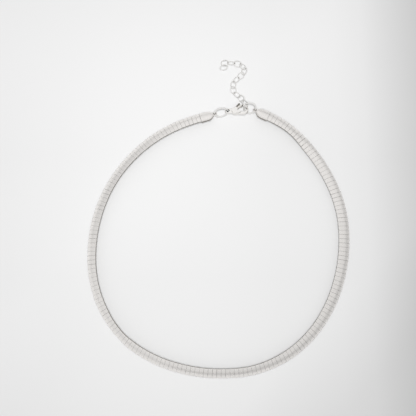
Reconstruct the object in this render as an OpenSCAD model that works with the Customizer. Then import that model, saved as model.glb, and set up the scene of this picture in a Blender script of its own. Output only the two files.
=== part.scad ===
// Choker collar: narrow domed plates crimped on a flat strip of woven wire, with end caps,
// jump rings, a lobster clasp and an extender chain. It lies on a level surface, with the
// outer edge of the band on the surface and the inner edge standing up.
// +Z is up, +Y points to the clasp, and the origin is on the surface under the middle.

/* [Band] */
// Width of a plate, across the band
plate_w = 6.2; // [5.9:0.1:6.3]
// Rise of the domed face above the section's centre
dome_h = 0.55; // [0.5:0.05:0.7]
// Depth of the folded back below the section's centre
back_d = 0.95; // [0.9:0.05:1.1]
// Thickness of the sheet that the plates are bent from
sheet_t = 0.25; // [0.2:0.01:0.28]
// Width of the sheet folded in behind each edge
fold_w = 1.25; // [1:0.05:1.6]
// Length of band that one plate takes, with the gap beside it
plate_pitch = 2.09; // [2.05:0.02:2.55]
// Gap between neighbouring plates, on the middle line of the band
plate_gap = 0.25; // [0.24:0.01:0.3]
// Direction of the left cap's mouth, in degrees anticlockwise from +X
left_end = 98.4; // [97:0.2:100]
// Direction of the right cap's mouth, one turn on
right_end = 428.7; // [427:0.1:430]

/* [Core strip] */
// Width of the woven strip
core_w = 4.4; // [4:0.1:4.5]
// Thickness of the woven strip
core_t = 0.3; // [0.25:0.01:0.32]
// Length of strip held inside each cap
core_in = 3; // [2:0.5:3]

/* [End caps] */
// Width of a cap
cap_w = 6.4; // [6.3:0.1:6.8]
// Length of a cap at full width
cap_len = 3.8; // [3.6:0.1:4.2]
// Distance from a cap's mouth to the middle of its eye
eye_at = 7.35; // [7.2:0.05:7.6]
// Diameter of a cap's eye
eye_d = 1.5; // [1.4:0.05:1.6]

/* [Jump rings] */
// Wire diameter of the jump rings
ring_wire = 0.8; // [0.7:0.05:0.85]
// Outside length of the long ring, between cap and clasp
ring_left_l = 7.7; // [7.6:0.1:7.8]
// Outside width of the long ring
ring_left_w = 5.2; // [5:0.1:5.4]
// Outside length of the ring that the clasp hooks into
ring_right_l = 6.8; // [6.7:0.1:7]
// Outside width of the ring that the clasp hooks into
ring_right_w = 6.2; // [6:0.1:6.3]

/* [Clasp] */
// Thickness of the claw
claw_t = 2; // [1.8:0.1:2.2]
// Thickness of the lever
lever_t = 1; // [0.9:0.05:1.05]
// Roll of the clasp about its own length, in degrees
clasp_roll = 20; // [18:1:22]
// How far the lever swings in from the nose, in degrees
lever_swing = 16; // [0:1:17]

/* [Extender chain] */
// Outside length of a link
link_l = 4.4; // [4.35:0.01:4.45]
// Outside width of a link
link_w = 3.4; // [3.35:0.01:3.45]
// Wire diameter of a link
link_wire = 0.45; // [0.4:0.01:0.47]

/* [Hidden] */
$fn = 48;

// Where the loop's centre lies from the origin, so that the whole piece is centred
loop_centre = [0.27, -15.17];

// Depth of a cut or shape that is to reach past both faces of what it meets
through = 4;

// The band's run round the loop, a row every 15 degrees from row_first: radius of the
// middle line, slope of the face down and outwards in degrees, lift off the surface
row_first = 90;
row_step = 15;
BAND_ROWS = [
    [65.0, 33, 0.34],
    [63.3, 33, 0.20],
    [62.1, 35, 0.00],
    [61.3, 39, 0.00],
    [61.1, 40, 0.00],
    [61.3, 39, 0.00],
    [62.0, 40, 0.00],
    [63.3, 42, 0.00],
    [64.3, 43, 0.00],
    [64.5, 45, 0.00],
    [63.2, 44, 0.00],
    [62.0, 42, 0.00],
    [61.6, 41, 0.00],
    [62.2, 41, 0.00],
    [62.3, 37, 0.00],
    [61.8, 33, 0.00],
    [61.0, 29, 0.00],
    [60.6, 26, 0.00],
    [61.0, 24, 0.00],
    [62.2, 22, 0.00],
    [63.4, 20, 0.00],
    [65.2, 19, 0.06],
    [68.0, 18, 0.45],
    [69.2, 12, 0.75]
];

// Places where the band is bent: direction, change of slope, degrees it takes
BAND_BENDS = [
    [209, 5, 6],
    [223, -5, 6],
    [405, 14, 12]
];

// Where each link of the chain meets the next, from the loop's centre: x, y, height, and the
// lean of the link that ends there, in degrees
CHAIN_MEETS = [
    [12.40, 72.40, 2.82, 30],
    [10.37, 74.58, 1.83, -29],
    [7.93, 77.01, 1.10, 27],
    [6.99, 79.64, 1.03, -28],
    [7.83, 82.66, 1.04, 28],
    [10.05, 84.95, 1.04, -28],
    [12.69, 87.18, 1.02, 28],
    [13.39, 89.83, 1.01, -31],
    [11.31, 92.03, 1.00, 30],
    [8.14, 92.71, 1.11, -30],
    [4.70, 92.92, 1.13, 36],
    [1.64, 92.43, 1.63, -28]
];

// Where the two ends of the last link lie, which rests across the one before it
END_LINK = [[0.75, 90.28, 0.43], [4.38, 90.68, 1.56]];

// Smooth value between two rows, given the rows before and after them as well
function between(before, here, next, after, t) =
    0.5 * (2 * here + (next - before) * t
    + (2 * before - 5 * here + 4 * next - after) * t * t
    + (3 * here - before - 3 * next + after) * t * t * t);
function band_row(k) = BAND_ROWS[max(0, min(len(BAND_ROWS) - 1, k))];
function band_at(angle) =
    let (u = (angle - row_first) / row_step, k = floor(u))
    between(band_row(k - 1), band_row(k), band_row(k + 1), band_row(k + 2), u - k);
function ramp(t) = t <= 0 ? 0 : t >= 1 ? 1 : t * t * (3 - 2 * t);
function sum(values, k = 0) = k < len(values) ? values[k] + sum(values, k + 1) : 0;

// Slope of the face, the plan point of the middle line, and the direction of its outward side
function slope(angle) =
    band_at(angle).y + sum([for (b = BAND_BENDS) b.y * ramp((angle - b.x) / b.z)]);
function plan(angle) = band_at(angle).x * [cos(angle), sin(angle)];
near = 0.5;
function outward(angle) =
    let (run = plan(angle + near) - plan(angle - near)) atan2(run.y, run.x) - 90;

// Height of the section's centre, with the band's lowest edge on the surface
edge_drop = 0.35;
corner_in = 0.3;
base_lift = 0.02;
function height(angle) =
    let (s = slope(angle), half = plate_w / 2)
    band_at(angle).z + base_lift + max(
        half * sin(s) + (back_d - edge_drop) * cos(s),
        (half - corner_in) * sin(s) + back_d * cos(s));
function centre(angle) = let (p = plan(angle)) [p.x, p.y, height(angle)];

// Directions across the band, outwards and down, and out of its face
function across(angle) =
    let (n = outward(angle), s = slope(angle)) [cos(n) * cos(s), sin(n) * cos(s), -sin(s)];
function faceward(angle) =
    let (n = outward(angle), s = slope(angle)) [cos(n) * sin(s), sin(n) * sin(s), cos(s)];

// Length of the middle line up to each sampled direction, and back from length to direction
sample_step = 0.5;
samples = ceil((right_end - left_end) / sample_step);
function sample_angle(k) = left_end + (right_end - left_end) * k / samples;
function sample_run(k) = k < samples ? norm(plan(sample_angle(k + 1)) - plan(sample_angle(k))) : 0;
RUN = [for (k = 0, s = 0; k <= samples; s = s + sample_run(k), k = k + 1) [s, sample_angle(k)]];
band_l = RUN[samples][0];
plates = floor(band_l / plate_pitch);
mouth_gap = 0.1;
pitch = (band_l - 2 * mouth_gap) / plates;
plate_l = plate_pitch - plate_gap;
function gap_angle(k) = lookup(mouth_gap + k * pitch, RUN);
function plate_angle(k) = gap_angle(k + 0.5);
plates_half = floor(plates / 2);

// Puts a section drawn with x across the band and y out of its face at a direction on the
// loop, with its length running clockwise round the loop
module on_band(angle) {
    translate(centre(angle)) rotate([0, slope(angle), outward(angle)]) rotate([90, 0, 0])
        children();
}
module placed() {
    translate([loop_centre.x, loop_centre.y, 0]) children();
}

// Face and edge heights of the domed section, where its face is creased, as a share of its
// half width, and how much tighter the sheet turns on its inner side
dome_drop = 0.6;
edge_y = dome_h - dome_drop;
crease = 0.45;
inner_turn = 0.1;
function dome_y(x, top) = top - dome_drop * pow(2 * x / plate_w, 2);

// Outline of one plate: the domed face, rolled edges, and the back folded in on both sides
module plate_section() {
    half = plate_w / 2;
    inner = half - sheet_t;
    face_x = half * crease;
    outside = [
        [-face_x, dome_y(face_x, dome_h)],
        [-half, edge_y],
        [-half, edge_drop - back_d],
        [corner_in - half, -back_d],
        [fold_w - half, -back_d]
    ];
    inside = [
        [fold_w - half, sheet_t - back_d],
        [corner_in - inner + inner_turn, sheet_t - back_d],
        [-inner, edge_drop - back_d + inner_turn],
        [-inner, dome_y(inner, dome_h - sheet_t)],
        [-face_x, dome_y(face_x, dome_h - sheet_t)]
    ];
    left = concat([[0, dome_h]], outside, inside, [[0, dome_h - sheet_t]]);
    right = [for (k = [len(left) - 2:-1:1]) [-left[k].x, left[k].y]];
    polygon(concat(left, right));
}
module plate(k) {
    on_band(plate_angle(k)) linear_extrude(height = plate_l, center = true) plate_section();
}

module plates_left() {
    color("#cdcac3") placed() for (k = [0:plates_half - 1]) plate(k);
}
module plates_right() {
    color("#cdcac3") placed() for (k = [plates_half:plates - 1]) plate(k);
}

// The woven strip: one flat swept body, with a section at the gap beside every plate. Each
// section is a direction and how far it is moved on clockwise.
core_play = 0.17;
core_bottom = sheet_t - back_d + core_play;
core_corners = [
    [-core_w / 2, core_bottom],
    [core_w / 2, core_bottom],
    [core_w / 2, core_bottom + core_t],
    [-core_w / 2, core_bottom + core_t]
];
core_rings = concat(
    [[left_end, core_in]],
    [for (k = [0:plates]) [gap_angle(k), 0]],
    [[right_end, -core_in]]
);
function clockwise(angle) = let (n = outward(angle)) [sin(n), -cos(n), 0];
function core_point(ring, c) =
    centre(ring.x) + ring.y * clockwise(ring.x) + across(ring.x) * c.x + faceward(ring.x) * c.y;
module core() {
    sides = len(core_corners);
    rings = len(core_rings);
    points = [for (r = core_rings, c = core_corners) core_point(r, c)];
    walls = [for (r = [0:rings - 2], c = [0:sides - 1])
        let (here = r * sides, next = here + sides, d = (c + 1) % sides)
        each [[here + c, here + d, next + c], [next + c, here + d, next + d]]];
    first = [for (c = [sides - 1:-1:0]) c];
    last = [for (c = [0:sides - 1]) (rings - 1) * sides + c];
    color("#a9a69f") placed() polyhedron(points = points, faces = concat(walls, [first, last]));
}

// A cap: closed sheet over the strip's end that narrows to a flat eye. Drawn like a
// section, it runs along +z from its mouth.
cap_skin = 0.2;
eye_rim = 0.5;
eye_t = 0.7;
eye_y = -0.1;
stem_w = 1.7;
stem_l = 1.8;
slot_side = 0.25;
slot_over = 0.2;
slot_end = 0.3;

// How a cap narrows past its full width: share of its half width, distance short of the eye
CAP_TAPER = [
    [0.8, 2.15],
    [0.5, 1.05]
];
module cap_section() {
    half = cap_w / 2;
    face_x = half * crease;
    side = [
        [-face_x, dome_y(face_x, dome_h + cap_skin)],
        [-half, edge_y],
        [-half, edge_drop - back_d],
        [corner_in - half, -back_d - cap_skin]
    ];
    other = [for (k = [len(side) - 1:-1:0]) [-side[k].x, side[k].y]];
    polygon(concat([[0, dome_h + cap_skin]], side, other));
}
module cap_plan() {
    half = cap_w / 2;
    edge = concat(
        [[half, 0], [half, cap_len]],
        [for (row = CAP_TAPER) [half * row.x, eye_at - row.y]]
    );
    polygon(concat(edge, [for (k = [len(edge) - 1:-1:0]) [-edge[k].x, edge[k].y]]));
}
module cap() {
    eye_r = eye_d / 2 + eye_rim;
    slot = [core_w + 2 * slot_side, core_t + 2 * slot_over, 2 * (core_in + slot_end)];
    slot_y = core_bottom + core_t / 2;
    difference() {
        union() {
            intersection() {
                linear_extrude(height = eye_at) cap_section();
                rotate([-90, 0, 0]) mirror([0, 1, 0])
                    linear_extrude(height = through, center = true) cap_plan();
            }
            translate([0, eye_y, eye_at]) rotate([-90, 0, 0])
                cylinder(h = eye_t, r = eye_r, center = true);
            translate([0, eye_y, eye_at - stem_l / 2]) cube([stem_w, eye_t, stem_l], center = true);
        }
        translate([0, eye_y, eye_at]) rotate([-90, 0, 0])
            cylinder(h = through, d = eye_d, center = true);
        translate([0, slot_y, 0]) cube(slot, center = true);
    }
}
module end_cap_left() {
    color("#d2cfc9") placed() on_band(left_end) cap();
}
module end_cap_right() {
    color("#d2cfc9") placed() on_band(right_end) mirror([0, 0, 1]) cap();
}

// The middle of a cap's eye; turned is 1 for the left cap and -1 for the right one
function eye_place(angle, turned) =
    centre(angle) + turned * eye_at * clockwise(angle) + eye_y * faceward(angle);
eye_left = eye_place(left_end, 1);
eye_right = eye_place(right_end, -1);

// An oval ring of round wire in its own plane, its length along x
ring_sides = 16;
wire_sides = 6;
module oval(length, width, wire) {
    half_l = (length - wire) / 2;
    half_w = (width - wire) / 2;
    points = [for (k = [0:ring_sides - 1], j = [0:wire_sides - 1])
        let (
            a = 360 * k / ring_sides,
            b = 360 * j / wire_sides,
            out = [half_w * cos(a), half_l * sin(a)],
            side = out / norm(out) * wire / 2 * cos(b)
        )
        [half_l * cos(a) + side.x, half_w * sin(a) + side.y, wire / 2 * sin(b)]];
    faces = [for (k = [0:ring_sides - 1], j = [0:wire_sides - 1])
        let (
            here = k * wire_sides,
            next = ((k + 1) % ring_sides) * wire_sides,
            up = (j + 1) % wire_sides
        )
        each [[here + j, here + up, next + j], [next + j, here + up, next + up]]];
    polyhedron(points = points, faces = faces);
}
// Places a ring by the two points that its length joins
module spanning(from, to, roll) {
    run = to - from;
    translate((from + to) / 2)
        rotate([roll, -asin(run.z / norm(run)), atan2(run.y, run.x)]) children();
}

// The long ring runs from the left cap's eye to the clasp's tail
ring_left_lean = 42;
ring_left_turn = 12.5;
ring_left_run = (ring_left_l - ring_wire) * [cos(ring_left_turn), sin(ring_left_turn), 0];
clasp_at = eye_left + ring_left_run;
module ring_left() {
    color("#bdbab4") placed() spanning(eye_left, clasp_at, ring_left_lean)
        oval(ring_left_l, ring_left_w, ring_wire);
}

// Turns a place on the clasp, from the middle of its tail, to one from the loop's centre
clasp_turn = 4;
function from_clasp(p) =
    let (
        level = p.y * cos(clasp_roll) + p.z * sin(clasp_roll),
        up = p.z * cos(clasp_roll) - p.y * sin(clasp_roll)
    )
    clasp_at + [
        p.x * cos(clasp_turn) - level * sin(clasp_turn),
        p.x * sin(clasp_turn) + level * cos(clasp_turn),
        up
    ];

// The rounder ring passes through the claw's mouth and the right cap's eye, and its middle
// lies up the slope from the line between them
ring_right_lean = 38;
hook_in = [8.4, 0.4, -0.45];
hook_at = from_clasp(hook_in);
hook_half = norm(eye_right - hook_at) / 2;
ring_right_rise = (ring_right_w - ring_wire) / 2
    * sqrt(1 - pow(2 * hook_half / (ring_right_l - ring_wire), 2));
module ring_right() {
    color("#bdbab4") placed() spanning(hook_at, eye_right, ring_right_lean)
        translate([0, ring_right_rise, 0]) oval(ring_right_l, ring_right_w, ring_wire);
}

// Places on the clasp, from the middle of its tail: x, y, radius of the round there
tail = [0, 0, 1.4];
neck = [3.6, -0.3, 1.1];
shoulder = [3.6, -0.3, 1.7];
cheek = [5, -0.05, 1.98];
claw = [7.5, 0.35, 2.9];
throat = [5.9, 0.1, 1];
mouth = [7.7, 0.35, 1.8];
pivot = [3.7, 0.85, 0.75];
gate_mid = [5.6, 2, 0.55];
gate_tip = [7, 2.55, 0.5];
tab_foot = [4.1, 1.4, 0.5];
tab_tip = [6.1, 3.85, 0.36];

// Thicknesses of the clasp's tail and hook, and its bore, pin and running clearances
tail_t = 0.7;
hook_t = 1.2;
tail_bore = 1.9;
pin_d = 0.6;
pin_play = 0.12;
slot_play = 0.15;
pin_in = 0.2;

// The gap that the lever closes: its reach from the pivot and its directions from there,
// and the slot for the lever, which goes on below its lowest place
gate_reach = 4.45;
gate_low = 0;
gate_high = 75;
gate_near = 1.1;
heel_reach = 1.2;
slot_high = 30;
slot_below = 12;

// Outline round two places, as points
function arc(c, r, from, to, n = 12) =
    [for (k = [0:n]) let (a = from + (to - from) * k / n) [c.x + r * cos(a), c.y + r * sin(a)]];
function round_pair(a, b) =
    let (
        turn = atan2(b.y - a.y, b.x - a.x),
        side = acos((a.z - b.z) / norm([b.x - a.x, b.y - a.y]))
    )
    concat(arc(b, b.z, turn - side, turn + side), arc(a, a.z, turn + side, turn + 360 - side));
module on_clasp() {
    placed() translate(clasp_at) rotate([-clasp_roll, 0, clasp_turn]) children();
}
module slab(points, thick) {
    linear_extrude(height = thick, center = true) polygon(points);
}
module lever_slot() {
    slot_t = lever_t + 2 * slot_play;
    sector = arc(pivot, gate_reach, -lever_swing - slot_below, slot_high);
    slab(concat(sector, [[pivot.x, pivot.y]]), slot_t);
    translate([pivot.x, pivot.y, 0]) cylinder(h = slot_t, r = heel_reach, center = true);
}
module clasp_body() {
    color("#c8c5bf") on_clasp() {
        difference() {
            union() {
                slab(round_pair(shoulder, claw), hook_t);
                slab(round_pair(shoulder, cheek), claw_t);
                slab(round_pair(tail, neck), tail_t);
            }
            slab(round_pair(throat, mouth), through);
            slab(
                concat(
                    arc(pivot, gate_reach, gate_low, gate_high),
                    arc(pivot, gate_near, gate_high, gate_low)
                ),
                through
            );
            lever_slot();
            cylinder(h = through, d = tail_bore, center = true);
        }
        translate([pivot.x, pivot.y, 0])
            cylinder(h = lever_t + 2 * (slot_play + pin_in), d = pin_d, center = true);
    }
}
module clasp_lever() {
    color("#d4d1cb") on_clasp() difference() {
        union() {
            slab(round_pair(pivot, gate_mid), lever_t);
            slab(round_pair(gate_mid, gate_tip), lever_t);
            slab(round_pair(tab_foot, tab_tip), lever_t);
        }
        translate([pivot.x, pivot.y, 0])
            cylinder(h = through, r = pin_d / 2 + pin_play, center = true);
    }
}

// The chain starts inside the rounder ring, past its wire, on the side away from the band
ring_mid = (hook_at + eye_right) / 2
    + ring_right_rise * [0, cos(ring_right_lean), sin(ring_right_lean)];
chain_side = 135;
chain_in = 0.45;
chain_start = ring_mid
    + ((ring_right_l - ring_wire) / 2 - chain_in) * cos(chain_side) * [1, 0, 0]
    + ((ring_right_w - ring_wire) / 2 - chain_in) * sin(chain_side)
        * [0, cos(ring_right_lean), sin(ring_right_lean)];
module link_between(from, to, lean) {
    color("#c4c1bb") placed() spanning(from, to, lean) oval(link_l, link_w, link_wire);
}
function meet(k) = let (row = CHAIN_MEETS[k - 1]) [row.x, row.y, row.z];
module link(k) {
    link_between(k == 1 ? chain_start : meet(k - 1), meet(k), CHAIN_MEETS[k - 1][3]);
}
end_link_lean = -10;
module end_link() {
    link_between(END_LINK[0], END_LINK[1], end_link_lean);
}

core();
plates_left();
plates_right();
end_cap_left();
end_cap_right();
ring_left();
ring_right();
clasp_body();
clasp_lever();
link(1);  // link_01
link(2);  // link_02
link(3);  // link_03
link(4);  // link_04
link(5);  // link_05
link(6);  // link_06
link(7);  // link_07
link(8);  // link_08
link(9);  // link_09
link(10);  // link_10
link(11);  // link_11
link(12);  // link_12
end_link();  // link_13
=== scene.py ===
# Choker collar of domed plates crimped on a woven strip, with end caps, jump rings, a lobster
# clasp and an extender chain, lying on a pale surface in soft studio light.
import math
import random

import bmesh
import bpy
import numpy as np
from mathutils import Matrix, Vector


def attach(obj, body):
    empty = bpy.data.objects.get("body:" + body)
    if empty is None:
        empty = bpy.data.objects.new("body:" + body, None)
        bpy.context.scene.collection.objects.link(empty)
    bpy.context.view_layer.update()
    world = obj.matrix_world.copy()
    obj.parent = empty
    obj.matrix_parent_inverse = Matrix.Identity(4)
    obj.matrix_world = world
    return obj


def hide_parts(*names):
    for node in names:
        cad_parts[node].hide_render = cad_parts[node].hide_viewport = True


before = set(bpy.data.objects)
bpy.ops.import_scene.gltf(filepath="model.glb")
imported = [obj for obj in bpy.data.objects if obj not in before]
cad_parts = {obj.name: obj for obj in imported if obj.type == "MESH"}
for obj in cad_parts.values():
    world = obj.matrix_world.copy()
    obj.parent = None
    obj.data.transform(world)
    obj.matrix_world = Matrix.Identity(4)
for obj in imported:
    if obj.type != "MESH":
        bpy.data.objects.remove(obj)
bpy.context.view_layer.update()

MM = 0.001
NECKLACE = "necklace"
LEVER = "lever"

# Sizes in millimetres, as the solids have them: a plate's face, dome, sides and folds, the strip
# inside it, the caps with their eyes, and the wire of the rings and links
PLATE_W = 6.2
DOME_H = 0.55
DOME_DROP = 0.6
BACK_D = 0.95
SHEET_T = 0.25
FOLD_W = 1.25
CORE_W = 4.4
CORE_Y = -0.38
CORE_IN = 2.9
PITCH = 2.09
MOUTH_GAP = 0.1
CAP_W = 6.4
CAP_TOP = 0.75
CAP_BOTTOM = -1.15
EYE_AT = 7.35
EYE_Y = -0.1
EYE_D = 1.5
EYE_RIM = 0.5
EYE_T = 0.7
RING_WIRE = 0.8
LINK_L = 4.4
LINK_W = 3.4
LINK_WIRE = 0.45

# How near two corners of a CAD mesh are when they are one, in millimetres, and how flat its
# faces are when they are one, in degrees
SAME_CORNER = 0.0005
SAME_FACE = 1

# Name of the mark on the faces that get painted shade
PAINTED_SHADE_MARK = "painted_shade"


# Meshes

def loft(outline, places):
    """Closed skin that an outline, drawn in x and y, leaves as it goes from place to place."""
    skin = bmesh.new()
    end = skin.faces.new([skin.verts.new(places[0] @ Vector((x, y, 0))) for x, y in outline])
    for before, after in zip(places, places[1:]):
        made = bmesh.ops.extrude_face_region(skin, geom=[end])["geom"]
        corners = [g for g in made if isinstance(g, bmesh.types.BMVert)]
        end = next(g for g in made if isinstance(g, bmesh.types.BMFace))
        bmesh.ops.transform(skin, matrix=after @ before.inverted(), verts=corners)
    bmesh.ops.recalc_face_normals(skin, faces=skin.faces)
    return skin


def joined(parts):
    """One bmesh that holds all the parts."""
    whole = bmesh.new()
    carrier = bpy.data.meshes.new("carrier")
    for part in parts:
        part.to_mesh(carrier)
        whole.from_mesh(carrier)
        part.free()
    bpy.data.meshes.remove(carrier)
    return whole


def merged_copy(node):
    """The skin of a CAD node, its loose triangles merged and its flat faces whole."""
    skin = bmesh.new()
    skin.from_mesh(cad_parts[node].data)
    bmesh.ops.remove_doubles(skin, verts=skin.verts, dist=SAME_CORNER * MM)
    bmesh.ops.dissolve_limit(
        skin, angle_limit=math.radians(SAME_FACE), verts=skin.verts, edges=skin.edges
    )
    return skin


def piece(name, skin, finish, body=NECKLACE, stands_for=(), crease=40):
    """A finished piece: smooth but for its creases, with its finish, riding on its body."""
    for face in skin.faces:
        face.smooth = True
    for edge in skin.edges:
        edge.smooth = len(edge.link_faces) == 2 and edge.calc_face_angle(0) < math.radians(crease)
    mesh = bpy.data.meshes.new(name)
    skin.to_mesh(mesh)
    skin.free()
    made = bpy.data.objects.new(name, mesh)
    bpy.context.scene.collection.objects.link(made)
    made.data.materials.append(finish)
    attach(made, body)
    if stands_for:
        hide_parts(*stands_for)


def mark_painted_shade(skin, chosen):
    """Marks the faces of a skin that get painted shade."""
    mark = skin.faces.layers.float.new(PAINTED_SHADE_MARK)
    for face in skin.faces:
        face[mark] = float(chosen(face))
    return skin


# Places, most of them read from the solids

def place_from(x, y, z, origin):
    """The place with these axes and this origin."""
    place = Matrix.Identity(4)
    for column, way in enumerate((x, y, z, origin)):
        for row in range(3):
            place[row][column] = way[row]
    return place


def loose_solids(node):
    """The corners of each loose solid in a CAD node."""
    skin = merged_copy(node)
    solids, seen = [], set()
    for start in skin.verts:
        if start in seen:
            continue
        seen.add(start)
        waiting, corners = [start], []
        while waiting:
            here = waiting.pop()
            corners.append(here.co[:])
            for edge in here.link_edges:
                other = edge.other_vert(here)
                if other not in seen:
                    seen.add(other)
                    waiting.append(other)
        solids.append(np.array(corners))
    skin.free()
    return solids


def main_ways(corners):
    """The mean of some corners, and the directions in which they spread, least first."""
    mean = corners.mean(0)
    ways = np.linalg.eigh(np.cov((corners - mean).T))[1]
    return mean, [ways[:, k] for k in range(3)]


def plate_place(corners, middle):
    """A plate's place: x across the band and outwards, y out of its face, z clockwise along it."""
    mean, (face, _, across) = main_ways(corners)
    face = face * np.sign(face[2])
    across = across * np.sign(across @ (mean - middle))
    top = ((corners - mean) @ face).max()
    return place_from(across, face, np.cross(across, face), mean + (top - DOME_H * MM) * face)


def band_places():
    """Every plate's place, in order from the left cap round to the right one."""
    solids = loose_solids("plates_left") + loose_solids("plates_right")
    middle = np.mean([s.mean(0) for s in solids], axis=0)

    def turn(solid):
        way = solid.mean(0) - middle
        return (math.degrees(math.atan2(way[1], way[0])) - 90) % 360
    return [plate_place(s, middle) for s in sorted(solids, key=turn)]


def oval_place(node):
    """A ring's place: x along its length, y along its width, z through it."""
    mean, (through, width, length) = main_ways(loose_solids(node)[0])
    return place_from(np.cross(width, through), width, through, mean)


def shifted(place, x, y, z):
    """A place moved in its own directions, in millimetres."""
    return place @ Matrix.Translation((x * MM, y * MM, z * MM))


def turned(place, degrees, way):
    """A place turned about one of its own directions."""
    return place @ Matrix.Rotation(math.radians(degrees), 4, way)


PLACES = band_places()

# The mouths of the two caps: where the section's centre is, which way the band's outer side
# faces in degrees, the slope of its face, and which way the cap runs along the band
CAP_MOUTHS = {
    "left": ((-9.095, 48.248, 2.611), 105.19, 32.86, 1),
    "right": ((25.284, 48.989, 2.836), 65.39, 28.35, -1),
}


def cap_place(side):
    """A cap's place: x across the band and outwards, y out of its face, z from mouth to eye."""
    centre, outward, slope, run = CAP_MOUTHS[side]
    place = Matrix.Translation([v * MM for v in centre])
    place = turned(turned(turned(place, outward, "Z"), slope, "Y"), 90, "X")
    return place @ Matrix.Diagonal((1, 1, run, 1))


# Materials

def colour(code):
    """Linear colour of an sRGB hex code."""
    parts = [int(code[k:k + 2], 16) / 255 for k in (1, 3, 5)]
    return [p / 12.92 if p <= 0.04045 else ((p + 0.055) / 1.055) ** 2.4 for p in parts] + [1]


def greys(stops):
    """The colours of a ramp whose stops are given as brightnesses."""
    return [(where, (bright, bright, bright, 1)) for where, bright in stops]


def add(tree, kind, links=(), stops=(), **settings):
    """Adds a node. Links pair a socket with the node, socket or plain value that feeds it, stops
    are a ramp's places and colours, and settings are plain sockets and the node's properties."""
    made = tree.nodes.new("ShaderNode" + kind)
    for name, value in settings.items():
        words = name.replace("_", " ").title()
        if words in made.inputs:
            made.inputs[words].default_value = value
        else:
            setattr(made, name, value)
    for socket, source in links:
        if isinstance(source, bpy.types.Node):
            source = source.outputs[0]
        if isinstance(source, bpy.types.NodeSocket):
            tree.links.new(source, made.inputs[socket])
        else:
            made.inputs[socket].default_value = source
    if stops:
        marks = made.color_ramp.elements
        for where, _ in stops[1:-1]:
            marks.new(where)
        for mark, (where, tone) in zip(marks, stops):
            mark.position = where
            mark.color = tone
    return made


# Painted shade in recesses: how far a recess is felt for, in millimetres, and how open a place
# is where its tone is wholly the painted recess shade and where it is that of the open metal
RECESS_REACH = 0.8
RECESS_RANGE = (0.25, 0.6)
RECESS_SAMPLES = 8

# How much rougher or smoother than the mean the polish may be, as a share
POLISH_SPREAD = 0.25


def plated(name, tone, painted_recess_shade, roughness, grain, scratch, depth, painted_shade=None, rim=None):
    """Plated metal: painted shade that darkens its recesses, polish that varies over a few
    millimetres, and fine marks. Faces marked for painted shade may have a darker tone of their
    own, and glancing views may have a tone of their own too."""
    made = bpy.data.materials.new(name)
    made.use_nodes = True
    tree = made.node_tree
    shader = tree.nodes["Principled BSDF"]
    shader.inputs["Metallic"].default_value = 1
    if rim:
        shader.inputs["Specular Tint"].default_value = colour(rim)
    # Painted shade: the base colour darkens towards the recess tone where occlusion finds the
    # metal closed in
    openness = add(tree, "AmbientOcclusion", samples=RECESS_SAMPLES, distance=RECESS_REACH * MM)
    tones = list(zip(RECESS_RANGE, (colour(painted_recess_shade), colour(tone))))
    skin = add(tree, "ValToRGB", [("Fac", openness.outputs["AO"])], tones)
    if painted_shade:
        marked = add(tree, "Attribute", attribute_name=PAINTED_SHADE_MARK).outputs["Fac"]
        skin = add(tree, "MixRGB", [("Fac", marked), ("Color1", skin), ("Color2", colour(painted_shade))])
    where = add(tree, "TexCoord").outputs["Object"]
    cloud = add(tree, "TexNoise", [("Vector", where)], scale=1 / (grain * MM), detail=3)
    smoothest, roughest = roughness * (1 - POLISH_SPREAD), roughness * (1 + POLISH_SPREAD)
    polish = add(tree, "MapRange", [("Value", cloud)], to_min=smoothest, to_max=roughest)
    marks = add(tree, "TexNoise", [("Vector", where)], scale=1 / (scratch * MM), detail=2)
    bump = add(tree, "Bump", [("Height", marks)], strength=1, distance=depth * MM)
    for socket, source in (("Base Color", skin), ("Roughness", polish), ("Normal", bump)):
        tree.links.new(source.outputs[0], shader.inputs[socket])
    return made


# The metals, each with its tone in the open and its painted shade in a recess, its roughness,
# how far its polish varies, the width of its fine marks and their depth, in millimetres. Real
# tumbling marks are under 0.05 mm wide, too fine to show, so they are drawn at 0.15 to 0.4 mm.

# Silver-tone plate on stamped and tumbled brass sheet: near-white, with broad soft reflections.
# Its cut edges and sides are painted a duller grey: painted shade for the shaded side wall under
# the raised inner edge.
SHEET = plated("plated_sheet", "#f2efec", "#cbc6c1", 0.28, 4, 0.4, 0.001, painted_shade="#928d86")

# Plated wire, drawn through a die: a hard bright line along it, and greyer at its rims. Where
# wires cross or pass close, painted shade darkens it to near black.
WIRE = plated("plated_wire", "#fbfaf8", "#1e1a17", 0.1, 2, 0.2, 0.001, rim="#a8a39d")

# Plated zinc casting, tumbled: bright and a little uneven. Inside its eye it is painted dark:
# painted shade for the shadow in the eye where the ring passes.
CAST = plated(
    "tumbled_casting", "#f4f2ef", "#2e2a26", 0.14, 1.5, 0.3, 0.002, painted_shade="#4a4540", rim="#8a857f"
)

# Polished steel of the lever: a shade greyer than the plate, and on its thumb tab painted darker,
# painted shade for the tab lying in shade
STEEL = plated("polished_steel", "#e6e3de", "#2e2a26", 0.12, 1.5, 0.3, 0.001, painted_shade="#807b75")

# Wire woven flat: painted shade, a soft mid grey tone that stands in for the shade each strand
# casts on the next
WEAVE = plated("woven_wire", "#b5b1a9", "#55514b", 0.3, 1, 0.15, 0.001)


# Plates

# How far from a plate's end its roll begins, how deep it goes, and the height at which a plate's
# or a cap's polished face ends and its side begins
PLATE_ROLL = 0.08
PLATE_DIP = 0.015
SIDE_Y = -0.22

# How far out of true the plates stand, in degrees: tipped along the band, and rolled about its
# run; the seed of their chance; and how sharp an edge stays a crease on them, in degrees
PLATE_TILT = 0.5
PLATE_LEAN = 0.4
PLATE_SEED = 7
PLATE_CREASE = 50

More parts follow.
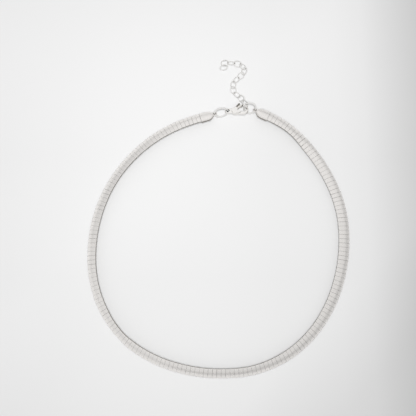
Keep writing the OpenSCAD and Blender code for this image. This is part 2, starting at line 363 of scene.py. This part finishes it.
# Gaps between plates: the narrowest on the left and on the right, how much wider one may be,
# and a wide one and how often it comes
SEAM_LEFT = 0.045
SEAM_RIGHT = 0.065
SEAM_MORE = 0.04
WIDE_GAP = 0.13
WIDE_SHARE = 0.06


def both_sides(right):
    """Closed outline in metres: the right half's points, and their mirror images back."""
    left = [(-x, y) for x, y in reversed(right[1:-1])]
    return [(x * MM, y * MM) for x, y in right + left]


def plate_outline():
    """A plate's section: domed face, edges bent square, and the sheet folded in behind."""
    half = PLATE_W / 2
    inner = half - SHEET_T

    def dome(x):
        return x, DOME_H - DOME_DROP * (x / half) ** 2
    return both_sides([
        dome(0), dome(1.5), dome(2.6), dome(half - 0.16), (half - 0.07, -0.16),
        (half - 0.12, -0.45), (half - 0.4, -0.78), (half - 0.75, -BACK_D),
        (half - FOLD_W, -BACK_D), (half - FOLD_W, SHEET_T - BACK_D), (inner - 0.35, -0.62),
        (inner - 0.1, -0.2), (0, DOME_H - SHEET_T)
    ])


def plate_end(place, beside):
    """Where a plate meets the one beside it: the slant of the seam across and through the
    band, and its distance along it."""
    back = place.inverted()
    along = Vector((0, 0, 1))
    way = back.to_3x3() @ (place.to_3x3() @ along + beside.to_3x3() @ along)
    middle = back @ ((place.translation + beside.translation) / 2)
    return -way.x / way.z, -way.y / way.z, way.dot(middle) / way.z / MM


def slanted(place, slant, dip, z):
    """A station of a plate, slanted as its end is, dipped below its face and z along it."""
    tip = Matrix.Identity(4)
    tip[2][0], tip[2][1] = slant
    return shifted(place, 0, -dip, z) @ tip


def mark_sides(skin, place):
    """Marks the faces of a plate that lie below its polished face, for painted shade."""
    back = place.inverted()
    return mark_painted_shade(skin, lambda face: (back @ face.calc_center_median()).y < SIDE_Y * MM)


def plates(run, seam, chance):
    """A run of plates, each with its ends rolled down a little, and set a little out of true."""
    outline = plate_outline()
    line = [shifted(PLACES[0], 0, 0, PITCH)] + PLACES + [shifted(PLACES[-1], 0, 0, -PITCH)]
    made = []
    for before, place, after in list(zip(line, line[1:], line[2:]))[run]:
        gap = WIDE_GAP if chance.random() < WIDE_SHARE else seam + chance.uniform(0, SEAM_MORE)
        tilted = turned(place, chance.gauss(0, PLATE_TILT), "X")
        set_place = turned(tilted, chance.gauss(0, PLATE_LEAN), "Z")
        stations = []
        for beside, way in ((after, -1), (before, 1)):
            across, through, reach = plate_end(place, beside)
            rows = [(0, PLATE_DIP), (PLATE_ROLL, 0), (2 * PLATE_ROLL, 0)]
            for back, dip in rows[::-way]:
                z = reach - way * (gap / 2 + back)
                stations.append(slanted(set_place, (across, through), dip, z))
        made.append(mark_sides(loft(outline, stations), place))
    return joined(made)


def make_plates():
    chance = random.Random(PLATE_SEED)
    half = len(PLACES) // 2
    left = "plates_left", slice(half), SEAM_LEFT
    right = "plates_right", slice(half, None), SEAM_RIGHT
    for name, run, seam in (left, right):
        skin = plates(run, seam, chance)
        piece("shown_" + name, skin, SHEET, stands_for=[name], crease=PLATE_CREASE)


# Woven strip: a flat braid whose strands cross it slantwise and turn back at its edges

# Its strands, their thickness, the length in which one goes across and back, and how far it
# rises and dips at each crossing
STRANDS = 18
STRAND_D = 0.22
BRAID_L = 14
BRAID_RISE = 0.08


def wires(paths, radius):
    """Fine wires along open paths of points in metres."""
    curve = bpy.data.curves.new("wires", "CURVE")
    curve.dimensions = "3D"
    curve.bevel_depth = radius * MM
    curve.bevel_resolution = 0
    curve.use_fill_caps = True
    for path in paths:
        spline = curve.splines.new("POLY")
        spline.points.add(len(path) - 1)
        spline.points.foreach_set("co", np.c_[path, np.ones(len(path))].ravel())
    holder = bpy.data.objects.new("wires", curve)
    mesh = bpy.data.meshes.new_from_object(holder)
    skin = bmesh.new()
    skin.from_mesh(mesh)
    bpy.data.objects.remove(holder)
    bpy.data.curves.remove(curve)
    bpy.data.meshes.remove(mesh)
    return skin


def strand_point(k, crossing):
    """Distance along the strip, across it and out of it where a strand meets its n-th crossing."""
    along = crossing * BRAID_L / (2 * STRANDS)
    turn = along / BRAID_L + k / STRANDS
    part = turn - round(turn)
    across = (1 - 4 * abs(part)) * (CORE_W - STRAND_D) / 2
    at_edge = (crossing + 2 * k) % STRANDS == 0
    rise = 0 if at_edge else BRAID_RISE * math.copysign(1, part) * (-1) ** crossing
    return along, across, CORE_Y + rise


def make_core():
    """The braid, carried along the plates' places and on into both caps."""
    reach = PITCH / 2 + MOUTH_GAP + CORE_IN
    places = [shifted(PLACES[0], 0, 0, reach)] + PLACES + [shifted(PLACES[-1], 0, 0, -reach)]
    frames = np.array([[list(row) for row in place] for place in places])
    gaps = np.linalg.norm(np.diff(frames[:, :3, 3], axis=0), axis=1) / MM
    run = np.r_[0, np.cumsum(gaps)]
    crossings = int(run[-1] * 2 * STRANDS / BRAID_L)
    paths = []
    for k in range(STRANDS):
        along, across, out = np.array([strand_point(k, n) for n in range(crossings)]).T
        local = np.c_[across * MM, out * MM, np.zeros(crossings), np.ones(crossings)]
        where = np.clip(np.searchsorted(run, along) - 1, 0, len(run) - 2)
        share = ((along - run[where]) / gaps[where])[:, None]
        before = np.einsum("nij,nj->ni", frames[where], local)
        after = np.einsum("nij,nj->ni", frames[where + 1], local)
        paths.append((before * (1 - share) + after * share)[:, :3])
    piece("woven_strip", wires(paths, STRAND_D / 2), WEAVE, stands_for=["core"])


# End caps

def cap_outline():
    """A cap's section: domed face, rounded sides and a flat back."""
    half = CAP_W / 2

    def dome(x):
        return x, CAP_TOP - DOME_DROP * (x / half) ** 2
    return both_sides([
        dome(0), dome(1.3), dome(2.3), dome(2.8), (half - 0.08, -0.06), (half, -0.24),
        (half, -0.74), (half - 0.12, -0.98), (half - 0.4, CAP_BOTTOM), (1.4, CAP_BOTTOM),
        (0, CAP_BOTTOM)
    ])


def smoothed(rows, steps):
    """The rows of a table with more between them, on a smooth curve through them all."""
    rows = np.array(rows)
    held = np.vstack([2 * rows[0] - rows[1], rows, 2 * rows[-1] - rows[-2]])
    made = [rows[0]]
    for k in range(len(rows) - 1):
        a, b, c, d = held[k:k + 4]
        for t in np.linspace(0, 1, steps + 1)[1:]:
            bend = 2 * a - 5 * b + 4 * c - d + t * (3 * b - a - 3 * c + d)
            made.append(b + t / 2 * (c - a + t * bend))
    return [tuple(float(v) for v in row) for row in made]


# A cap along its length: distance from its mouth, and share of its width and of its depth. Its
# rim is softened, and past its straight part it narrows on a smooth curve. Its eye's edges are
# softened too.
CAP_RIM = [(-0.04, 0.985, 0.97), (0.06, 1, 1)]
CAP_NARROWING = [
    (3.4, 1, 1),
    (4.5, 0.93, 0.97),
    (5.4, 0.76, 0.86),
    (6.1, 0.54, 0.68),
    (6.7, 0.34, 0.42)
]
CAP_STEPS = 4
CAP_STATIONS = CAP_RIM + smoothed(CAP_NARROWING, CAP_STEPS)
EYE_SOFT = 0.15
EYE_STEPS = 32


def washer(inner, rim, thick, soft):
    """A flat eye with softened edges, round the z axis."""
    skin = bmesh.new()
    middle = inner + rim / 2
    bmesh.ops.create_grid(skin, x_segments=1, y_segments=1, size=0.5)
    bmesh.ops.scale(skin, vec=(rim * MM, thick * MM, 1), verts=skin.verts)
    bmesh.ops.bevel(
        skin, geom=skin.verts[:], affect="VERTICES", offset=soft * MM, segments=2, profile=0.5,
        material=-1
    )
    bmesh.ops.delete(skin, geom=skin.faces[:], context="FACES_ONLY")
    upright = Matrix.Rotation(math.radians(90), 3, "X")
    bmesh.ops.rotate(skin, cent=(0, 0, 0), matrix=upright, verts=skin.verts)
    bmesh.ops.translate(skin, vec=(middle * MM, 0, 0), verts=skin.verts)
    bmesh.ops.spin(
        skin, geom=skin.verts[:] + skin.edges[:], cent=(0, 0, 0), axis=(0, 0, 1), dvec=(0, 0, 0),
        angle=math.tau, steps=EYE_STEPS, use_merge=True
    )
    bmesh.ops.recalc_face_normals(skin, faces=skin.faces)
    return skin


def make_caps():
    """Each cap narrows about the height of its eye, and its sides carry painted shade all the way.
    """
    run, _, depth = np.array(CAP_STATIONS).T
    for side in CAP_MOUTHS:
        place = cap_place(side)
        back = place.inverted()
        centre = shifted(place, 0, EYE_Y, 0)
        stations = [
            shifted(shifted(centre, 0, 0, z) @ Matrix.Diagonal((wide, deep, 1, 1)), 0, -EYE_Y, 0)
            for z, wide, deep in CAP_STATIONS
        ]

        def side_face(face):
            at = back @ face.calc_center_median() / MM
            return at.y - EYE_Y < (SIDE_Y - EYE_Y) * np.interp(at.z, run, depth)
        body = mark_painted_shade(loft(cap_outline(), stations), side_face)
        eye = washer(EYE_D / 2, EYE_RIM, EYE_T, EYE_SOFT)
        flat = turned(shifted(place, 0, EYE_Y, EYE_AT), 90, "X")
        bmesh.ops.transform(eye, matrix=flat, verts=eye.verts)
        whole = joined([body, eye])
        bmesh.ops.recalc_face_normals(whole, faces=whole.faces)
        piece("shown_end_cap_" + side, whole, SHEET, stands_for=["end_cap_" + side])


# Rings and links

# Each ring's length, its width and the turn, in degrees, at which it is cut and bent shut. For
# rings and for links: steps round the oval, sides of the wire, and the gap left at the cut.
RINGS = {"ring_left": (7.7, 5.2, 100), "ring_right": (6.8, 6.2, 250)}
RING_STEPS = 40
RING_SIDES = 12
RING_CUT = 0.06
LINK_STEPS = 28
LINK_SIDES = 10
LINK_CUT = 0.04
LINK_CUT_AT = 90


def oval(place, length, width, wire, steps, sides, cut, cut_at):
    """An oval of round wire, bent round until its two ends all but meet."""
    half_l, half_w = (length - wire) / 2, (width - wire) / 2
    turns = [math.tau * k / sides for k in range(sides)]
    outline = [(wire / 2 * MM * math.cos(turn), wire / 2 * MM * math.sin(turn)) for turn in turns]
    open_turn = cut / half_w
    down = Vector((0, 0, -1))
    stations = []
    for k in range(steps + 1):
        turn = math.radians(cut_at) + open_turn / 2 + (math.tau - open_turn) * k / steps
        run = Vector((-half_l * math.sin(turn), half_w * math.cos(turn), 0)).normalized()
        centre = Vector((half_l * math.cos(turn), half_w * math.sin(turn), 0)) * MM
        stations.append(place @ place_from(Vector((run.y, -run.x, 0)), down, run, centre))
    return loft(outline, stations)


def make_rings():
    for node, (length, width, cut_at) in RINGS.items():
        skin = oval(
            oval_place(node), length, width, RING_WIRE, RING_STEPS, RING_SIDES, RING_CUT, cut_at
        )
        piece("shown_" + node, skin, WIRE, stands_for=[node])
    for node in sorted(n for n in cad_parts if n.startswith("link")):
        skin = oval(
            oval_place(node), LINK_L, LINK_W, LINK_WIRE, LINK_STEPS, LINK_SIDES, LINK_CUT,
            LINK_CUT_AT
        )
        piece("shown_" + node, skin, WIRE, stands_for=[node])


# Clasp

# The middle of the clasp's tail, the clasp's turn and its roll, and where it gets painted shade:
# on the walls of its eye, up to a radius, and on the lever's thumb tab, past a cut
CLASP_AT = (4.749, 51.615, 2.527)
CLASP_TURN = 4
CLASP_ROLL = 20
EYE_WALLS = 1.15
TAB_CUT_AT = (5.6, 2.5)
TAB_CUT_TURN = 51

# How far the tumbling has rounded the edges of the casting and of the lever, and how sharp an
# edge has to be for that, in degrees
BODY_SOFT = 0.3
LEVER_SOFT = 0.25
SHARP = 40


def softened(node, offset):
    """A cast or stamped solid's skin with its sharp edges tumbled round."""
    skin = merged_copy(node)
    sharp = [
        e for e in skin.edges
        if len(e.link_faces) == 2 and e.calc_face_angle(0) > math.radians(SHARP)
    ]
    bmesh.ops.bevel(
        skin, geom=sharp, affect="EDGES", offset=offset * MM, segments=3, profile=0.5, material=-1,
        clamp_overlap=True
    )
    return skin


def clasp_place():
    """The clasp's place: its tail's middle, x towards its nose and z through it."""
    place = Matrix.Translation([v * MM for v in CLASP_AT])
    return turned(turned(place, CLASP_TURN, "Z"), -CLASP_ROLL, "X")


def make_clasp():
    place = clasp_place()
    back = place.inverted()

    # The eye's walls get painted shade, for the shadow inside the eye
    def eye_wall(face):
        from_middle = back @ face.calc_center_median()
        upright = abs((back.to_3x3() @ face.normal).z) < 0.5
        return upright and from_middle.xy.length < EYE_WALLS * MM
    body = mark_painted_shade(softened("clasp_body", BODY_SOFT), eye_wall)
    piece("shown_clasp_body", body, CAST, stands_for=["clasp_body"])

    cut_at = shifted(place, TAB_CUT_AT[0], TAB_CUT_AT[1], 0).translation
    cut_way = turned(place, TAB_CUT_TURN, "Z").to_3x3() @ Vector((0, 1, 0))
    lever = softened("clasp_lever", LEVER_SOFT)
    everything = lever.verts[:] + lever.edges[:] + lever.faces[:]
    bmesh.ops.bisect_plane(lever, geom=everything, plane_co=cut_at, plane_no=cut_way)
    # The thumb tab past the cut gets painted shade
    mark_painted_shade(lever, lambda face: cut_way.dot(face.calc_center_median() - cut_at) > 0)
    piece("shown_clasp_lever", lever, STEEL, LEVER, ["clasp_lever"])


make_plates()
make_core()
make_caps()
make_rings()
make_clasp()


# Surface, light and camera

# The board's half size, how far it lies under the necklace, and its finish. Its tone carries
# painted shade, a falloff of the light painted along x, along y and towards the bottom right
# corner: places from 0 to 1 of a run through its middle, and brightness.
BOARD_HALF = 2000
BOARD_DROP = 0.01
BOARD_ROUGHNESS = 0.9
BOARD_TONE = "#f4f4f4"
BOARD_RUN = 240
BOARD_PAINTED_FALLOFF = {
    (1, 0, 0): [
        (0.03, 1.0), (0.17, 0.965), (0.42, 0.935), (0.62, 0.915), (0.75, 0.93), (0.81, 0.91),
        (0.93, 0.73)
    ],
    (0, 1, 0): [(0.06, 0.75), (0.37, 0.755), (0.62, 0.82), (0.87, 0.935), (0.98, 0.98)],
    (0.7, -0.7, 0): [(0.05, 0.985), (0.35, 1.0), (0.5, 0.975), (0.8, 0.965), (0.95, 0.86)]
}


def make_surface():
    """Matt painted board, near-white, that runs well past the view, with painted shade where the
    light falls off.
    """
    skin = bmesh.new()
    bmesh.ops.create_grid(skin, x_segments=1, y_segments=1, size=BOARD_HALF * MM)
    bmesh.ops.translate(skin, vec=(0, 0, -BOARD_DROP * MM), verts=skin.verts)
    mesh = bpy.data.meshes.new("surface")
    skin.to_mesh(mesh)
    skin.free()
    floor = bpy.data.objects.new("surface", mesh)
    bpy.context.scene.collection.objects.link(floor)
    made = bpy.data.materials.new("matt_white_board_painted_falloff")
    made.use_nodes = True
    tree = made.node_tree
    shader = tree.nodes["Principled BSDF"]
    shader.inputs["Roughness"].default_value = BOARD_ROUGHNESS
    where = add(tree, "TexCoord").outputs["Object"]
    reach = BOARD_RUN / 2 * MM
    tone = colour(BOARD_TONE)
    # Painted shade: each ramp darkens the board's tone where the light falls off
    for way, stops in BOARD_PAINTED_FALLOFF.items():
        along = add(tree, "VectorMath", [(0, where), (1, way)], operation="DOT_PRODUCT")
        run = [("Value", along.outputs["Value"])]
        share = add(tree, "MapRange", run, from_min=-reach, from_max=reach)
        painted_falloff = add(tree, "ValToRGB", [("Fac", share)], greys(stops))
        tones = [("Color1", tone), ("Color2", painted_falloff)]
        tone = add(tree, "MixRGB", tones, blend_type="MULTIPLY", fac=1)
    tree.links.new(tone.outputs[0], shader.inputs["Base Color"])
    mesh.materials.append(made)


# The white tent as the metal shows it: its brightness, how dark it is towards the horizon by
# height (0 to 1), the share of that dark from left to right and how much higher it stands on
# the right, the brightness of each side of the tent, by direction from +X (0 to 1 for a whole
# turn), and the tent's light on the board
TENT = 0.82
TENT_DARK = [(0.0, 0.35), (0.07, 0.6), (0.16, 0.62), (0.27, 0.05), (1.0, 0.0)]
TENT_DARK_ACROSS = [(0.0, 0.3), (0.5, 0.6), (1.0, 0.58)]
TENT_LEAN = 0.15
TENT_SIDES = [
    (0.0, 0.98),
    (0.09, 1.1),
    (0.17, 1.12),
    (0.28, 1.2),
    (0.36, 0.9),
    (0.43, 0.9),
    (0.5, 1.0),
    (0.68, 1.03),
    (0.76, 0.94),
    (0.88, 0.97),
    (1.0, 0.98)
]
AMBIENT = 0.35


def make_tent():
    """A tent that is bright where the metal shows it, and lights the board weakly."""
    world = bpy.data.worlds.new("studio")
    bpy.context.scene.world = world
    world.use_nodes = True
    tree = world.node_tree
    sky = add(tree, "TexCoord").outputs["Generated"]
    way = add(tree, "SeparateXYZ", [("Vector", sky)]).outputs
    angle = add(tree, "Math", [(0, way["Y"]), (1, way["X"])], operation="ARCTAN2")
    turns = add(tree, "Math", [(0, angle), (1, math.tau)], operation="DIVIDE")
    turn = add(tree, "Math", [(0, turns)], operation="FRACT")
    side = add(tree, "ValToRGB", [("Fac", turn)], greys(TENT_SIDES))
    side_bright = add(tree, "Math", [(0, side), (1, TENT)], operation="MULTIPLY")
    lean = add(tree, "Math", [(0, way["X"]), (1, TENT_LEAN)], operation="MULTIPLY")
    height = add(tree, "Math", [(0, way["Z"]), (1, lean)], operation="SUBTRACT")
    horizon = add(tree, "ValToRGB", [("Fac", height)], greys(TENT_DARK))
    rightward = add(tree, "Math", [(0, way["X"]), (1, 0.5), (2, 0.5)], operation="MULTIPLY_ADD")
    across = add(tree, "ValToRGB", [("Fac", rightward)], greys(TENT_DARK_ACROSS))
    dark = add(tree, "Math", [(0, horizon), (1, across)], operation="MULTIPLY")
    undimmed = add(tree, "Math", [(0, 1), (1, dark)], operation="SUBTRACT")
    seen = add(tree, "Math", [(0, side_bright), (1, undimmed)], operation="MULTIPLY")
    glossy = add(tree, "LightPath").outputs["Is Glossy Ray"]
    bright = add(tree, "MapRange", [("Value", glossy), ("To Max", seen)], to_min=AMBIENT)
    studio = tree.nodes["Background"]
    studio.inputs["Color"].default_value = (1, 1, 1, 1)
    tree.links.new(bright.outputs[0], studio.inputs["Strength"])


# The lamp's middle and size in millimetres, and its power in watts
LAMP_AT = (-5, -36, 320)
LAMP_SIZE = (60, 100)
LAMP_POWER = 1.1


def make_lamp():
    """A small soft lamp just above the camera, which the metal doesn't show. From there it hides
    the necklace's own shade, all but a soft rim."""
    light = bpy.data.lights.new("softbox_above", "AREA")
    light.shape = "RECTANGLE"
    light.size, light.size_y = [v * MM for v in LAMP_SIZE]
    light.energy = LAMP_POWER
    made = bpy.data.objects.new("softbox_above", light)
    bpy.context.scene.collection.objects.link(made)
    made.location = [v * MM for v in LAMP_AT]
    made.visible_glossy = False


# The camera, almost straight above and a little to the front: its place in millimetres, its
# tilt in degrees, its lens and sensor in millimetres, and how near it still sees
CAMERA_AT = (-5.23, -39.5, 281.87)
CAMERA_TILT = 8.5
CAMERA_LENS = 49.76
CAMERA_SENSOR = 36
CAMERA_NEAR = 10


def make_camera():
    camera = bpy.data.cameras.new("camera")
    camera.sensor_width = CAMERA_SENSOR
    camera.lens = CAMERA_LENS
    camera.clip_start = CAMERA_NEAR * MM
    made = bpy.data.objects.new("camera", camera)
    bpy.context.scene.collection.objects.link(made)
    made.location = [v * MM for v in CAMERA_AT]
    made.rotation_euler = (math.radians(CAMERA_TILT), 0, 0)
    bpy.context.scene.camera = made


make_surface()
make_tent()
make_lamp()
make_camera()
bpy.context.scene.view_settings.view_transform = "Standard"
